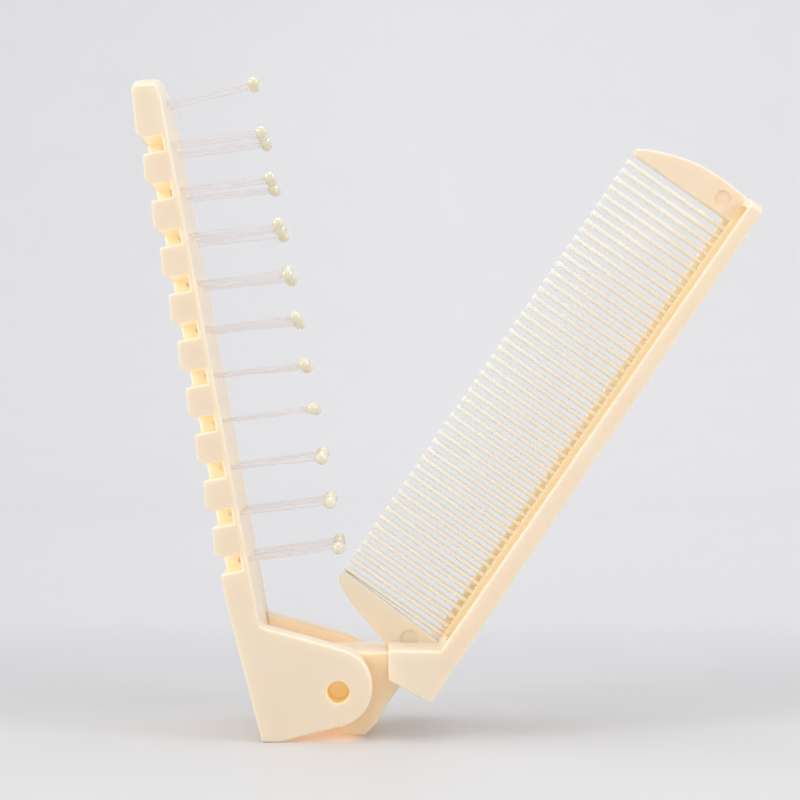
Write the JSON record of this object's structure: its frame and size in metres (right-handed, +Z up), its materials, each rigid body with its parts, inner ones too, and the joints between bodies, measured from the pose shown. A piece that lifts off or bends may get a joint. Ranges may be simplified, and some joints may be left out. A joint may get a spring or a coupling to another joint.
{
  "type": "folding comb",
  "caption": "Pocket comb that folds: a fine-toothed comb half and a ball-tipped bristle brush half, hinged end to end, standing open in a V.",
  "frame": {"origin": "middle of the flat foot that the brush half stands on", "axes": "+Z up, +Y along the hinge axis and away from the viewer, +X from the brush half towards the comb half"},
  "size_m": [0.1131, 0.025, 0.1193],
  "materials": {
    "ivory_plastic": "satin moulded ivory plastic, slightly translucent",
    "clear_nylon": "clear nylon filament with glossy pale yellow ball tips"
  },
  "bodies": {
    "brush": {"brush_body": "ivory_plastic", "bristle_01_front": "clear_nylon", "bristle_01_back": "clear_nylon", "bristle_02_front": "clear_nylon", "bristle_02_back": "clear_nylon", "bristle_03_front": "clear_nylon", "bristle_03_back": "clear_nylon", "bristle_04_front": "clear_nylon", "bristle_04_back": "clear_nylon", "bristle_05_front": "clear_nylon", "bristle_05_back": "clear_nylon", "bristle_06_front": "clear_nylon", "bristle_06_back": "clear_nylon", "bristle_07_front": "clear_nylon", "bristle_07_back": "clear_nylon", "bristle_08_front": "clear_nylon", "bristle_08_back": "clear_nylon", "bristle_09_front": "clear_nylon", "bristle_09_back": "clear_nylon", "bristle_10_front": "clear_nylon", "bristle_10_back": "clear_nylon", "bristle_11_end": "clear_nylon"},
    "comb": {"comb_body": "ivory_plastic"}
  },
  "joints": [
    {"name": "hinge", "type": "hinge", "parent": "brush", "child": "comb", "pos_m": [0.0116, 0, 0.0088], "axis": [0, 1, 0], "range_deg": [-45.3, 134.7]}
  ]
}
